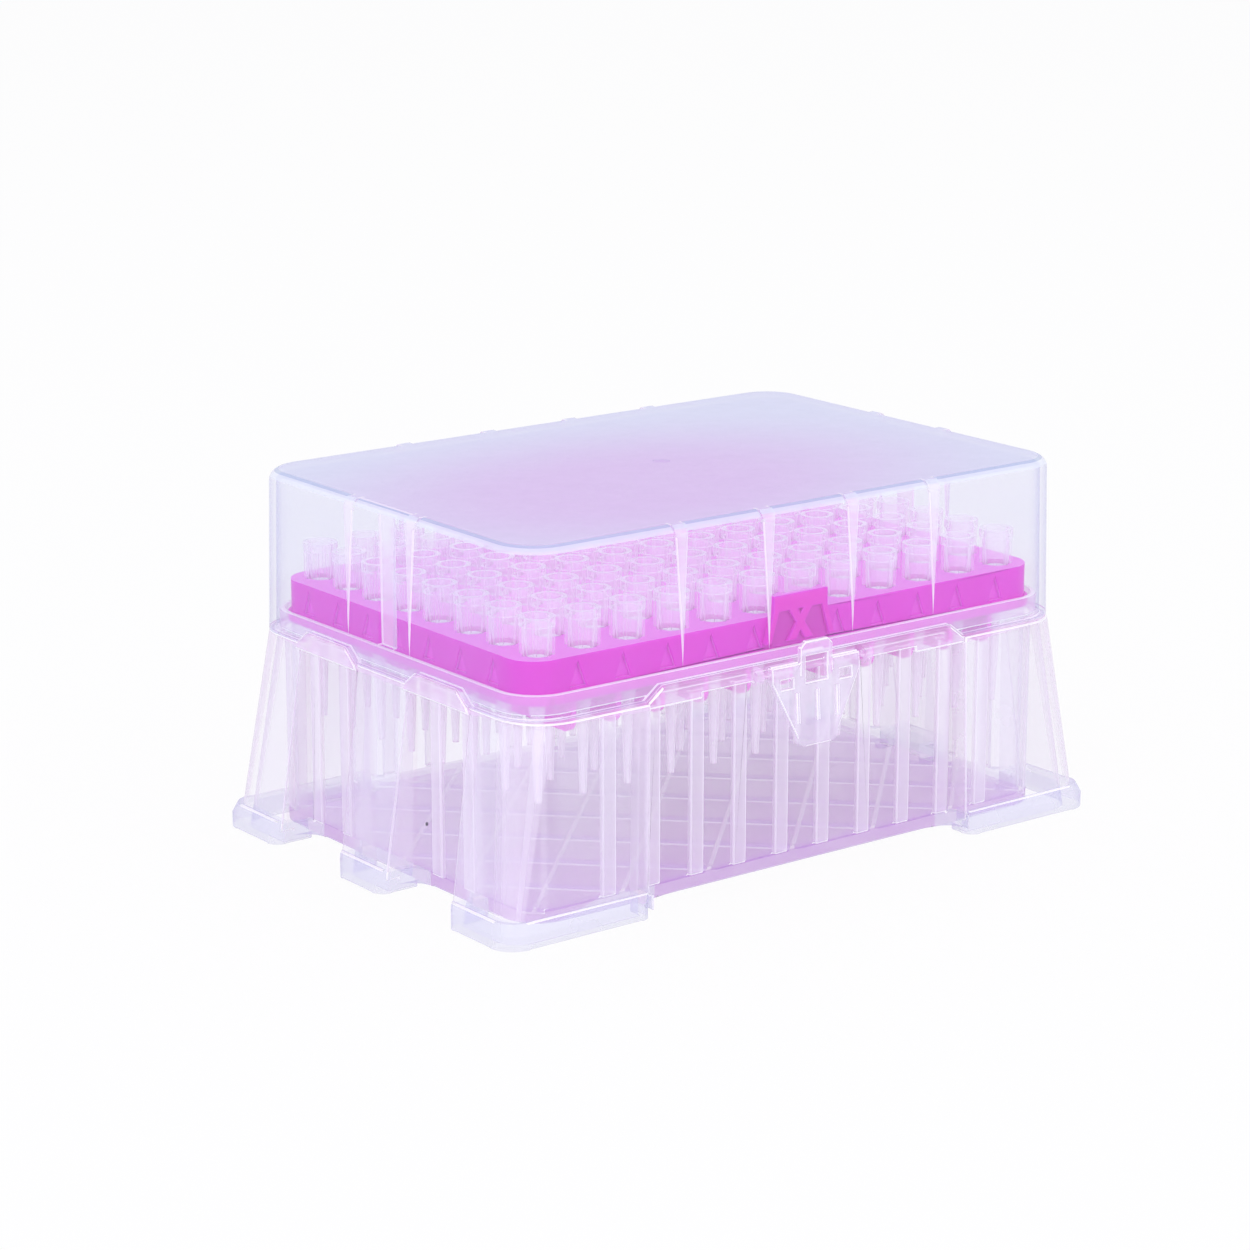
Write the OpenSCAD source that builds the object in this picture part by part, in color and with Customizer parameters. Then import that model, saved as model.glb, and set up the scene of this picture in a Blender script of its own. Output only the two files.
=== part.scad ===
// Hinged box of 96 filtered 10 microlitre pipette tips, on the standard plate footprint.
// X runs along the long side, the latch faces -Y, the hinge faces +Y, Z is up.
// The origin is the centre of the footprint, on the surface that the feet stand on.

/* [Tip grid] */
// Distance between neighbouring tips
pitch = 9; // [7.5:0.1:11]
// Distance from the first tip's axis to the footprint's short edge
margin_x = 14.38; // [12:0.01:18]
// Distance from the first tip's axis to the footprint's long edge
margin_y = 11.24; // [10:0.01:14]

/* [Case] */
// Distance from the outer tip axes to the rim's short side
rim_margin_x = 7.5; // [6.5:0.1:9]
// Distance from the outer tip axes to the rim's long side
rim_margin_y = 7.1; // [6.5:0.1:9]
// Height of the base, feet to rim
base_h = 39.3; // [32:0.1:48]
// Height of the closed box
case_h = 63.6; // [60:0.1:80]
// Wall of the base
base_wall = 1.2; // [1:0.1:1.6]
// Corner radius of the rim
rim_r = 7.6; // [5:0.1:9]
// Height of the rim above the ledge
rim_rise = 1.7; // [1.2:0.1:2.4]
// Height of the ledge's face
ledge_h = 3.2; // [2.6:0.1:4]
// How far the ledge stands out of the rim
ledge_out = 1.9; // [1.6:0.1:2.4]
// Thickness of the tub's floor
floor_t = 1.6; // [1:0.1:2.5]
// Height of the tub's floor above the surface
floor_z = 1.3; // [0.8:0.1:2.5]
// Height of the crossing ribs on the floor
floor_rib_h = 0.9; // [0.5:0.1:1.5]
// Width of the crossing ribs on the floor
floor_rib_w = 0.8; // [0.5:0.1:1.5]

/* [Feet] */
// Height of the upright edge of a foot
foot_edge_h = 2.4; // [1.5:0.1:4]
// Height where a foot's bevel meets its skirt
foot_bevel_h = 4.2; // [3:0.1:6]
// Corner radius of the feet at the bottom
foot_r = 4.75; // [3:0.05:7]
// Half of the space between the corner feet on a long side
long_gap = 34; // [28:0.5:38]
// Half of the space between the corner feet on a short side
short_gap = 25; // [21:0.5:27]
// Half width of the middle foot on a short side
mid_foot = 7.4; // [5:0.1:9]
// Wall of the foot skirts
foot_wall = 1.3; // [1:0.1:1.8]
// Corner radius at the ends of each foot's edge
foot_end_r = 2.5; // [1.5:0.1:2.8]
// Radius of the fillets between the feet and the tub
fillet_r = 4.5; // [2:0.5:6]

/* [Lid] */
// Wall of the lid
lid_wall = 1.2; // [0.9:0.1:1.5]
// Clearance between the rim and the lid
lid_clear = 0.4; // [0.3:0.05:0.6]
// How much the lid narrows from its edge to its top, each side
lid_draft = 0.6; // [0.2:0.1:1]
// Radius of the lid's top edge
lid_edge_r = 2; // [1.5:0.1:3]
// How far the lid's feet edges hang below its notches
lid_drop = 2.2; // [1.5:0.1:3]
// Gap between the lid's edge and the base below it
seat_gap = 0.2; // [0.1:0.05:0.4]
// Widest part of a lid rib
lid_rib_w = 2.7; // [1.5:0.1:4]
// How far a lid rib stands out
lid_rib_out = 0.4; // [0.2:0.1:0.8]
// Half width of the stiffener inside each short wall
stiffener = 2.2; // [1:0.1:4]

/* [Tip plate] */
// Height of the plate's top above the rim
plate_rise = 5.1; // [3.5:0.1:7]
// Thickness of the plate's top
plate_t = 1.6; // [1.2:0.1:2.5]
// Wall of the plate's skirt
plate_wall = 1.3; // [1:0.1:1.8]
// Corner radius of the plate
plate_r = 5.5; // [4:0.1:7]
// Clearance between the plate and the rim
plate_clear = 0.25; // [0.15:0.05:0.4]
// Thickness of the plate's flange
flange_t = 1.5; // [1:0.1:2]
// Radius of a tip hole
hole_r = 2.5; // [2.4:0.05:2.7]
// Thickness of the webs under the plate
web_t = 1; // [0.7:0.1:1.5]
// Depth of the cross webs below the plate
cross_web_h = 13.2; // [8:0.1:14]
// Depth of the long webs below the plate
long_web_h = 9; // [6:0.1:12]
// Half width of the raised front tab
tab_half = 5.8; // [4:0.1:8]
// Height of the raised front tab above the plate
tab_rise = 3.6; // [2:0.1:4]

/* [Tips] */
// Length of a tip
tip_l = 31; // [28:0.5:34]
// Height of a tip's mouth above the plate
mouth_rise = 6.2; // [5:0.1:7.5]
// Outer radius of a tip's mouth ring
ring_r = 2.95; // [2.8:0.05:3.2]
// Height of a tip's mouth ring
ring_h = 1.5; // [1:0.1:2.5]
// Radius of the straight bore in a tip's mouth
mouth_r = 2.1; // [1.9:0.05:2.2]
// Depth of the straight bore in a tip's mouth
mouth_depth = 3.7; // [3:0.1:5]
// Outer radius of a tip's end
end_r = 0.55; // [0.4:0.05:0.7]
// Bore radius at a tip's end
end_bore = 0.25; // [0.15:0.05:0.35]
// Length of a filter
filter_l = 3.2; // [2:0.1:4]
// Clearance around a filter
filter_clear = 0.04; // [0.02:0.01:0.08]

/* [Hinge and latch] */
// Radius of the hinge pins and the latch pin
pin_r = 0.7; // [0.6:0.05:0.75]
// Running clearance around a pin
pin_clear = 0.05; // [0.03:0.01:0.08]
// Wall of the clips around the pins
clip_wall = 0.7; // [0.6:0.05:0.75]
// Distance from the rim to the hinge axis
hinge_out = 2.4; // [2.2:0.05:2.5]
// Distance from the middle of the box to the middle of a hinge clip
hinge_x = 20; // [17:0.5:23]
// Length of a hinge clip
hinge_l = 9; // [6:0.5:10]
// End clearance of a clip between its lugs
end_clear = 0.3; // [0.2:0.05:0.5]
// Thickness of a lug
lug_t = 1.5; // [1:0.1:2]
// Distance from the rim to the latch axis
latch_out = 1.7; // [1.6:0.05:1.9]
// Half width of the latch at its hinge
latch_half = 9.4; // [7:0.1:11]
// Half width of the latch at its lower end
latch_end = 4.4; // [3:0.1:5]
// Length of the latch below its axis
latch_drop = 13; // [10:0.1:16]
// Height of the hook above the latch axis
hook_h = 4.8; // [4:0.1:6]
// Thickness of the latch
latch_t = 1.2; // [0.9:0.1:1.5]
// Gap between the hook and the catch of the lid
catch_clear = 0.15; // [0.1:0.05:0.3]

/* [Hidden] */
$fn = 48;

columns = 12;
rows = 8;
grid_x = (columns - 1) / 2 * pitch;
grid_y = (rows - 1) / 2 * pitch;
eps = 0.01;
far = 200;

// Base: half sizes of each outline
foot_x = grid_x + margin_x;
foot_y = grid_y + margin_y;
rim_x = grid_x + rim_margin_x;
rim_y = grid_y + rim_margin_y;
seat_step = 0.8;
tub_x = rim_x - seat_step;
tub_y = rim_y - seat_step;
ledge_x = rim_x + ledge_out;
ledge_y = rim_y + ledge_out;
bevel = 1;
skirt_step_x = 1.38;
skirt_step_y = 1.24;
skirt_x = foot_x - skirt_step_x;
skirt_y = foot_y - skirt_step_y;
skirt_top_x = rim_x + 1;
skirt_top_y = rim_y + 2.4;
skirt_r = foot_r - 0.35;
skirt_top_r = rim_r + 0.9;

// Base: heights
ledge_top = base_h - rim_rise;
ledge_bottom = ledge_top - ledge_h;
lip_step = 0.9;
lip_half = 23;
ledge_t = 1.2;
shoulder_z = ledge_top - lid_drop;
seat_z = ledge_top - 0.4;
band_h = 1.2;
floor_top = floor_z + floor_t;
gap_lean = 0.65;
slope = 2.9;
rib_w = 2.8;
rib_out = 0.8;
long_ribs = [1, 3, 5, 7, 9];
short_ribs = [3, 5];

// Lid: half sizes and heights
lid_x = rim_x + lid_clear + lid_wall;
lid_y = rim_y + lid_clear + lid_wall;
lid_r = rim_r + 1;
lid_z = shoulder_z + seat_gap;
notch_z = ledge_top + seat_gap;
lid_rib_z = base_h + 1;
rib_wrap = 2.7;
gate_r = 1.5;
gate_d = 0.25;
stiffener_t = 1;
catch_half = 2.3;
catch_out = 0.45;
catch_z = notch_z + 0.5;
catch_face_h = 0.5;
catch_h = 1.6;

// Tip plate
plate_x = rim_x - 2;
plate_y = rim_y - 2.2;
flange_x = rim_x - base_wall - plate_clear;
flange_y = rim_y - base_wall - plate_clear;
flange_r = rim_r - base_wall - plate_clear;
plate_top = base_h + plate_rise;
groove_d = 0.7;
groove_half = 1.6;
web_corner = 2.2;
tab_t = plate_wall - 0.1;
leg_w = 1.2;
leg_spread = 1.6;
cross_w = 1.9;
cross_top = 1.5;
cross_foot = 1.9;
brace_z = base_h + 0.7;
brace_top = plate_top + 0.8;

// Tips
mouth_z = plate_top + mouth_rise;
tip_z = mouth_z - tip_l;
neck_r = 2.3;
filter_seat = 3.9;
filter_z = plate_top - filter_seat;
filter_r = 1.6;
filter_top_r = 1.75;
waist_z = plate_top - 11.4;
waist_r = 1.05;
waist_bore = 0.65;
tip_wall = 0.4;
tip_ribs = 8;
tip_rib_w = 0.5;
tip_rib_r = 2.85;

// Hinge and latch
clip_r = pin_r + pin_clear;
clip_out = clip_r + clip_wall;
slot_half = 0.5;
hinge_y = rim_y + hinge_out;
hinge_z = notch_z - clip_out - 0.15;
hinge_gap = hinge_l / 2 + end_clear;
arm_turn = 37;
arm_h = 3;
arm_root = 0.3;
latch_y = -rim_y - latch_out;
latch_clip_wall = clip_wall - 0.1;
latch_clip_out = clip_r + latch_clip_wall;
latch_z = notch_z - latch_clip_out - 0.45;
latch_gap = latch_half + 1.6;
latch_top = 1.2;
latch_side = 1.5;
latch_corner = 1.8;
clip_inner = 3.5;
clip_half = latch_half - 0.1;
tab_lean = 0.8;
tab_face = latch_y - 1.4;
window_half = 2.2;
slot_x = 6.3;
slot_w = 2.6;
slot_drop = 2.7;
slot_h = 1.6;
hook_half = 3.4;
hook_t = 0.95;
hook_foot = 2;
hook_corner = 1;
grip_pitch = 4.3;
grip_w = 0.7;
grip_out = 0.3;
grip_foot = 4.2;
grip_l = 5.2;

// ---------- shapes shared by several pieces ----------

// Rounded rectangle given by its half sizes
module outline(x, y, r) {
    square([2 * x, 2 * (y - r)], center = true);
    square([2 * (x - r), 2 * y], center = true);
    for (sx = [-1, 1], sy = [-1, 1])
        translate([sx * (x - r), sy * (y - r)])
            circle(r);
}

// Upright block with rounded corners from z0 to z1
module block(x, y, r, z0, z1) {
    translate([0, 0, z0])
        linear_extrude(z1 - z0)
            outline(x, y, r);
}

// Block whose outline changes from one rounded rectangle to another
module taper(x0, y0, r0, z0, x1, y1, r1, z1) {
    hull($fn = 32) {
        block(x0, y0, r0, z0, z0 + eps);
        block(x1, y1, r1, z1 - eps, z1);
    }
}

// Profile of X and Z points run along Y from y0 to y1
module along_y(y0, y1) {
    translate([0, y1, 0])
        rotate([90, 0, 0])
            linear_extrude(y1 - y0)
                children();
}

// Profile of Y and Z points run along X from x0 to x1
module along_x(x0, x1) {
    translate([x0, 0, 0])
        rotate([90, 0, 90])
            linear_extrude(x1 - x0)
                children();
}

// Children on both sides of the YZ plane
module both_x() {
    for (s = [0, 1])
        mirror([s, 0, 0])
            children();
}

// Children on both sides of the XZ plane
module both_y() {
    for (s = [0, 1])
        mirror([0, s, 0])
            children();
}

// ---------- base ----------

// One corner's share of the feet, moved inwards by g
module corner_share(g) {
    top = ledge_bottom;
    intersection() {
        along_y(0, far)
            polygon([[long_gap + gap_lean + g, -1], [far, -1], [far, far],
                [long_gap + g, far], [long_gap + g, top]]);
        along_x(0, far)
            polygon([[short_gap + gap_lean + g, -1], [far, -1], [far, far],
                [short_gap + g, far], [short_gap + g, top]]);
    }
}

// The middle foot's share on one short side, moved inwards by g
module middle_share(g) {
    along_x(0, far)
        polygon([[-mid_foot + gap_lean + g, -1], [mid_foot - gap_lean - g, -1],
            [mid_foot - g, ledge_bottom], [mid_foot - g, far],
            [-mid_foot + g, far], [-mid_foot + g, ledge_bottom]]);
}

// All six feet's shares
module foot_shares(g) {
    both_x() {
        both_y()
            corner_share(g);
        middle_share(g);
    }
}

// Upright block with round corners over one foot's edge, between two corners of its plan
module foot_print(x0, x1, y0, y1) {
    translate([(x0 + x1) / 2, (y0 + y1) / 2, 0])
        block((x1 - x0) / 2, (y1 - y0) / 2, foot_end_r, 0, foot_bevel_h);
}

// Plans of all six feet's edges
module foot_prints() {
    half = mid_foot - gap_lean;
    both_x() {
        both_y()
            foot_print(long_gap + gap_lean, foot_x, short_gap + gap_lean, foot_y);
        foot_print(tub_x - foot_end_r, foot_x, -half, half);
    }
}

// Hollow skirts of the feet, with the bevel and the upright edge they stand on
module feet() {
    difference() {
        union() {
            intersection() {
                union() {
                    block(foot_x, foot_y, foot_r, 0, foot_edge_h);
                    taper(foot_x, foot_y, foot_r, foot_edge_h,
                        foot_x - bevel, foot_y - bevel, foot_r - bevel, foot_bevel_h);
                }
                foot_prints();
            }
            intersection() {
                taper(skirt_x, skirt_y, skirt_r, foot_edge_h,
                    skirt_top_x, skirt_top_y, skirt_top_r, shoulder_z);
                foot_shares(0);
            }
        }
        intersection() {
            taper(skirt_x - foot_wall, skirt_y - foot_wall, skirt_r - foot_wall, -1,
                skirt_top_x - foot_wall, skirt_top_y - foot_wall, skirt_top_r - foot_wall,
                shoulder_z - foot_wall);
            foot_shares(foot_wall);
        }
    }
}

// Fillet in plan at the inner corner (x, y), filling towards the signs sx and sy
module fillet(x, y, sx, sy) {
    translate([x, y, floor_z])
        linear_extrude(floor_top + floor_rib_h - floor_z)
            difference() {
                translate([sx > 0 ? -eps : -fillet_r, sy > 0 ? -eps : -fillet_r])
                    square(fillet_r + eps);
                translate([sx * fillet_r, sy * fillet_r])
                    circle(fillet_r);
            }
}

// Fillets where the feet's ends meet the tub
module foot_fillets() {
    both_x()
        both_y() {
            fillet(long_gap + gap_lean, tub_y, -1, 1);
            fillet(tub_x, short_gap + gap_lean, 1, -1);
            fillet(tub_x, mid_foot - gap_lean, 1, 1);
        }
}

// Ledge that runs round the tub between the feet
module ledge_band(half, x_lip) {
    polygon([[-half - 1, ledge_bottom], [-half, shoulder_z], [-half + slope, ledge_top],
        [half - slope, ledge_top], [half, shoulder_z], [half + 1, ledge_bottom],
        [x_lip, ledge_bottom], [x_lip, ledge_bottom + lip_step],
        [-x_lip, ledge_bottom + lip_step], [-x_lip, ledge_bottom]]);
}

// Hollow below the ledge
module ledge_hollow(half) {
    z = ledge_top - ledge_t;
    polygon([[-half + slope, 0], [-half + slope, z], [half - slope, z], [half - slope, 0]]);
}

module long_ledge() {
    difference() {
        along_y(tub_y - eps, ledge_y)
            ledge_band(long_gap, lip_half);
        along_y(0, ledge_y - ledge_t)
            ledge_hollow(long_gap);
    }
}

module short_ledge() {
    middle = (short_gap + mid_foot) / 2;
    half = (short_gap - mid_foot) / 2;
    difference() {
        translate([0, middle, 0])
            along_x(tub_x - eps, ledge_x)
                polygon([[-half - 0.5, ledge_bottom], [-half, shoulder_z],
                    [-half + slope, ledge_top], [half - slope, ledge_top],
                    [half, shoulder_z], [half + 0.5, ledge_bottom]]);
        translate([0, middle, 0])
            along_x(0, ledge_x - ledge_t)
                ledge_hollow(half);
    }
}

// Upright ribs on the outside of the tub between the feet
module wall_ribs() {
    z0 = floor_top + floor_rib_h;
    z1 = ledge_bottom + lip_step;
    both_x()
        both_y() {
            for (k = long_ribs)
                translate([(k * pitch - rib_w) / 2, tub_y - eps, z0])
                    cube([rib_w, rib_out + eps, z1 - z0]);
            for (k = short_ribs)
                translate([tub_x - eps, (k * pitch - rib_w) / 2, z0])
                    cube([rib_out + eps, rib_w, z1 - z0]);
        }
}

// Crossing diagonal ribs on the tub's floor
module floor_ribs() {
    step = 2 * pitch;
    n = ceil((foot_x + foot_y) / step);
    intersection() {
        block(tub_x - eps, tub_y - eps, rim_r - 1, floor_top - eps, floor_top + floor_rib_h);
        for (k = [-n : n], a = [-45, 45])
            translate([k * step, 0, floor_top])
                rotate([0, 0, a])
                    cube([floor_rib_w, far * 2, floor_rib_h * 4], center = true);
    }
}

// Lug that carries one end of a pin, with its face at x0
module lug(x0, y, z, r, wall_y) {
    along_x(x0, x0 + lug_t) {
        translate([y, z])
            circle(r);
        polygon([[wall_y, z - r], [y, z - r], [y, z + r], [wall_y, z + r]]);
    }
}

// Hinge pins with their lugs at the back
module hinge_pins() {
    both_x() {
        lug(hinge_x + hinge_gap, hinge_y, hinge_z, clip_out, tub_y);
        lug(hinge_x - hinge_gap - lug_t, hinge_y, hinge_z, clip_out, tub_y);
        along_x(hinge_x - hinge_gap - eps, hinge_x + hinge_gap + eps)
            translate([hinge_y, hinge_z])
                circle(pin_r);
    }
}

// Latch pin with its lugs at the front
module latch_pin() {
    both_x()
        lug(latch_gap, latch_y, latch_z, latch_clip_out, -tub_y);
    along_x(-latch_gap - eps, latch_gap + eps)
        translate([latch_y, latch_z])
            circle(pin_r);
}

// Openings in the ledge for the latch and the two hinge clips
module ledge_openings() {
    z0 = ledge_bottom - 2;
    z1 = ledge_top + eps;
    translate([-latch_gap, -ledge_y - 1, z0])
        cube([2 * latch_gap, ledge_y - rim_y + 1, z1 - z0]);
    both_x()
        translate([hinge_x - hinge_gap, rim_y, z0])
            cube([2 * hinge_gap, ledge_y - rim_y + 1, z1 - z0]);
}

module base() {
    color("lavender", 0.5) {
        difference() {
            union() {
                block(tub_x, tub_y, rim_r - seat_step, floor_z, seat_z);
                block(rim_x, rim_y, rim_r, seat_z - band_h, base_h);
                feet();
                foot_fillets();
                both_y()
                    long_ledge();
                both_x()
                    both_y()
                        short_ledge();
                wall_ribs();
            }
            block(tub_x - base_wall, tub_y - base_wall, rim_r - seat_step - base_wall,
                floor_top, seat_z + eps);
            block(rim_x - base_wall, rim_y - base_wall, rim_r - base_wall, seat_z, base_h + 1);
            block(tub_x, tub_y, rim_r - seat_step, -1, floor_z);
            ledge_openings();
        }
        floor_ribs();
        hinge_pins();
        latch_pin();
    }
}

// ---------- lid ----------

// Solid form of the lid, grown by g on every side, with a rounded top edge
module lid_form(g, edge) {
    x = lid_x - lid_draft + g;
    y = lid_y - lid_draft + g;
    r = lid_r - lid_draft + g;
    z = case_h + g - edge;
    hull() {
        block(lid_x + g, lid_y + g, lid_r + g, lid_z, lid_z + eps);
        for (sx = [-1, 1], sy = [-1, 1])
            translate([sx * (x - r), sy * (y - r), z])
                rotate_extrude()
                    translate([r - edge, 0])
                        circle(edge, $fn = 32);
    }
}

// Raised parts of the lid's edge between the feet
module lid_notches() {
    z = lid_z - 1;
    k = slope / (notch_z - lid_z);
    along_y(-far, far)
        polygon([[-long_gap - k, z], [-long_gap + slope, notch_z],
            [long_gap - slope, notch_z], [long_gap + k, z]]);
    both_y()
        along_x(-far, far)
            polygon([[mid_foot - k, z], [mid_foot + slope, notch_z],
                [short_gap - slope, notch_z], [short_gap + k, z]]);
}

// Ribs that start wide and flush with the lid's top, and run out to a point above the rim
module lid_ribs() {
    wide = lid_rib_w / 2;
    intersection() {
        lid_form(lid_rib_out, lid_edge_r + lid_rib_out);
        union() {
            both_y()
                along_y(lid_y - lid_draft - rib_wrap, lid_y + 1)
                    for (k = [-3, -1, 1, 3])
                        translate([k * pitch, 0])
                            polygon([[-wide, case_h], [wide, case_h], [0, lid_rib_z]]);
            both_x()
                along_x(lid_x - lid_draft - rib_wrap, lid_x + 1)
                    for (k = [-1, 1])
                        translate([k * pitch, 0])
                            polygon([[-wide, case_h], [wide, case_h], [0, lid_rib_z]]);
        }
    }
}

// Arms from the lid's back edge down to the clips that turn on the hinge pins
module hinge_arms() {
    wall_in = lid_y - lid_wall + arm_root;
    c = clip_out * cos(arm_turn);
    s = clip_out * sin(arm_turn);
    both_x()
        along_x(hinge_x - hinge_l / 2, hinge_x + hinge_l / 2) {
            translate([hinge_y, hinge_z])
                circle(clip_out);
            polygon([[wall_in, notch_z], [wall_in, notch_z + arm_h], [lid_y, notch_z + arm_h],
                [hinge_y + c, hinge_z + s], [hinge_y, hinge_z], [hinge_y - s, hinge_z + c]]);
        }
}

// Bores and snap slots of the hinge clips
module hinge_bores() {
    both_x()
        along_x(hinge_x - hinge_l, hinge_x + hinge_l) {
            translate([hinge_y, hinge_z])
                circle(clip_r);
            translate([hinge_y - slot_half, hinge_z - clip_out - 1])
                square([2 * slot_half, clip_out + 1]);
        }
}

// Catch on the lid's front wall that the hook closes over
module lid_catch() {
    wall_in = -lid_y + lid_wall / 2;
    face = -lid_y - catch_out;
    along_x(-catch_half, catch_half)
        polygon([[wall_in, catch_z], [face, catch_z], [face, catch_z + catch_face_h],
            [wall_in, catch_z + catch_h]]);
}

// Hollow inside the lid, with a stiffener left on each short wall
module lid_cavity() {
    difference() {
        lid_form(-lid_wall, lid_edge_r - lid_wall);
        both_x()
            translate([lid_x - lid_wall - stiffener_t, -stiffener, base_h + 0.5])
                cube([2 * stiffener_t, 2 * stiffener, case_h]);
    }
    block(lid_x - lid_wall, lid_y - lid_wall, lid_r - lid_wall, lid_z - 1, lid_z + eps);
}

module lid() {
    color("thistle", 0.5)
    difference() {
        union() {
            difference() {
                union() {
                    lid_form(0, lid_edge_r);
                    lid_ribs();
                }
                lid_cavity();
                lid_notches();
            }
            hinge_arms();
            lid_catch();
        }
        hinge_bores();
        translate([0, 0, case_h - gate_d])
            cylinder(r = gate_r, h = 1);
    }
}

// ---------- tip plate ----------

// Shallow gable-shaped grooves on the skirt's outer faces
module grooves() {
    z0 = base_h;
    z1 = plate_top - 1;
    both_y()
        along_y(plate_y - groove_d, plate_y + 1)
            for (k = [-5 : 5])
                if (k != 0)
                    translate([k * pitch, 0])
                        polygon([[-groove_half, z0], [groove_half, z0], [0, z1]]);
    both_x()
        along_x(plate_x - groove_d, plate_x + 1)
            for (k = [-3 : 3])
                translate([k * pitch, 0])
                    polygon([[-groove_half, z0], [groove_half, z0], [0, z1]]);
}

// Webs across and along the underside
module webs() {
    y = plate_y - plate_wall + eps;
    x = plate_x - plate_wall + eps;
    z = plate_top - cross_web_h;
    for (k = [-5 : 5])
        along_x(k * pitch - web_t / 2, k * pitch + web_t / 2) {
            translate([-y, z + web_corner])
                square([2 * y, cross_web_h - web_corner - eps]);
            translate([-y + web_corner, z])
                square([2 * (y - web_corner), web_corner + eps]);
            for (s = [-1, 1])
                translate([s * (y - web_corner), z + web_corner])
                    circle(web_corner);
        }
    for (k = [-2, 0, 2])
        translate([-x, k * pitch - web_t / 2, plate_top - long_web_h])
            cube([2 * x, web_t, long_web_h - eps]);
}

// Raised tab at the middle of the front: a bar on two splayed legs with a crossed brace between them
module front_tab() {
    foot = tab_half + leg_spread;
    translate([-tab_half, -plate_y - tab_t, brace_top])
        cube([2 * tab_half, tab_t + eps, plate_top + tab_rise - brace_top]);
    along_y(-plate_y - tab_t / 2, -plate_y + eps) {
        translate([-tab_half, base_h])
            square([2 * tab_half, brace_top - base_h + eps]);
        polygon([[-tab_half, brace_top + eps], [tab_half, brace_top + eps],
            [foot, brace_z], [-foot, brace_z]]);
    }
    along_y(-plate_y - tab_t, -plate_y)
        for (s = [-1, 1]) {
            polygon([[s * (tab_half - leg_w), brace_top + eps], [s * tab_half, brace_top + eps],
                [s * foot, brace_z], [s * (foot - leg_w), brace_z]]);
            polygon([[s * cross_top - cross_w / 2, brace_top + eps],
                [s * cross_top + cross_w / 2, brace_top + eps],
                [-s * cross_foot + cross_w / 2, brace_z],
                [-s * cross_foot - cross_w / 2, brace_z]]);
        }
}

module tip_plate() {
    color("orchid")
    difference() {
        union() {
            difference() {
                union() {
                    block(plate_x, plate_y, plate_r, seat_z, plate_top);
                    block(flange_x, flange_y, flange_r, seat_z, seat_z + flange_t);
                }
                block(plate_x - plate_wall, plate_y - plate_wall, plate_r - plate_wall,
                    seat_z - 1, plate_top - plate_t);
                grooves();
            }
            webs();
            front_tab();
        }
        for (i = [0 : columns - 1], j = [0 : rows - 1])
            translate([i * pitch - grid_x, j * pitch - grid_y, plate_top - plate_t - 1])
                cylinder(r = hole_r, h = plate_t + 2);
    }
}

// ---------- latch ----------

// Face of the latch, with round lower corners, in X and Z points from its axis
module latch_face() {
    r = latch_corner;
    difference() {
        union() {
            polygon([[-latch_half, latch_top], [latch_half, latch_top],
                [latch_half, -latch_side], [latch_end, -latch_drop + r],
                [-latch_end, -latch_drop + r], [-latch_half, -latch_side]]);
            translate([-latch_end + r, -latch_drop])
                square([2 * (latch_end - r), r + eps]);
            for (s = [-1, 1])
                translate([s * (latch_end - r), -latch_drop + r])
                    circle(r);
        }
        square([2 * catch_half, 2 * window_half], center = true);
        for (s = [-1, 1])
            translate([s * slot_x - slot_w / 2, -slot_drop])
                square([slot_w, slot_h]);
    }
}

// Clips of the latch on its pin, left and right of the hook
module latch_clips() {
    face = tab_face + latch_t / 2;
    both_x()
        along_x(clip_inner, clip_half) {
            translate([latch_y, latch_z])
                circle(latch_clip_out);
            translate([face, latch_z - latch_clip_out])
                square([latch_y - face, 2 * latch_clip_out]);
        }
}

// Posts and head of the hook
module latch_hook() {
    y = -lid_y - catch_out - catch_clear;
    top = latch_z + hook_h;
    along_y(y - hook_t, y)
        difference() {
            polygon([[-hook_half, latch_z - hook_foot], [hook_half, latch_z - hook_foot],
                [hook_half, top - hook_corner], [hook_half - hook_corner, top],
                [-hook_half + hook_corner, top], [-hook_half, top - hook_corner]]);
            translate([-catch_half, latch_z - window_half])
                square([2 * catch_half, 2 * window_half]);
        }
}

module latch() {
    lean = atan(tab_lean / latch_drop);
    color("lavender", 0.5)
    difference() {
        union() {
            translate([0, tab_face, latch_z])
                rotate([-lean, 0, 0]) {
                    along_y(0, latch_t)
                        latch_face();
                    for (k = [-1 : 1])
                        translate([k * grip_pitch - grip_w / 2, -grip_out, grip_foot - latch_drop])
                            cube([grip_w, grip_out + eps, grip_l]);
                }
            latch_clips();
            latch_hook();
        }
        // bore and snap slot
        along_x(-latch_half, latch_half) {
            translate([latch_y, latch_z])
                circle(clip_r);
            translate([latch_y, latch_z - slot_half])
                square([latch_clip_out + 1, 2 * slot_half]);
        }
    }
}

// ---------- tips and filters ----------

// One tip on the Z axis, standing in the plate on its ribs
module tip() {
    rotate_extrude()
        polygon([
            [end_bore, tip_z], [end_r, tip_z], [waist_r, waist_z],
            [filter_r + tip_wall, filter_z], [neck_r, plate_top],
            [neck_r + 0.1, mouth_z - ring_h], [ring_r, mouth_z - ring_h], [ring_r, mouth_z],
            [mouth_r + 0.1, mouth_z], [mouth_r, mouth_z - 0.4], [mouth_r, mouth_z - mouth_depth],
            [filter_top_r, filter_z + filter_l + 0.3], [filter_r, filter_z],
            [waist_bore, waist_z]]);
    for (a = [0 : 360 / tip_ribs : 359])
        rotate([0, 0, a])
            translate([neck_r - 0.15, -tip_rib_w / 2, plate_top])
                cube([tip_rib_r - neck_r + 0.15, tip_rib_w, mouth_rise - ring_h + eps]);
}

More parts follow.
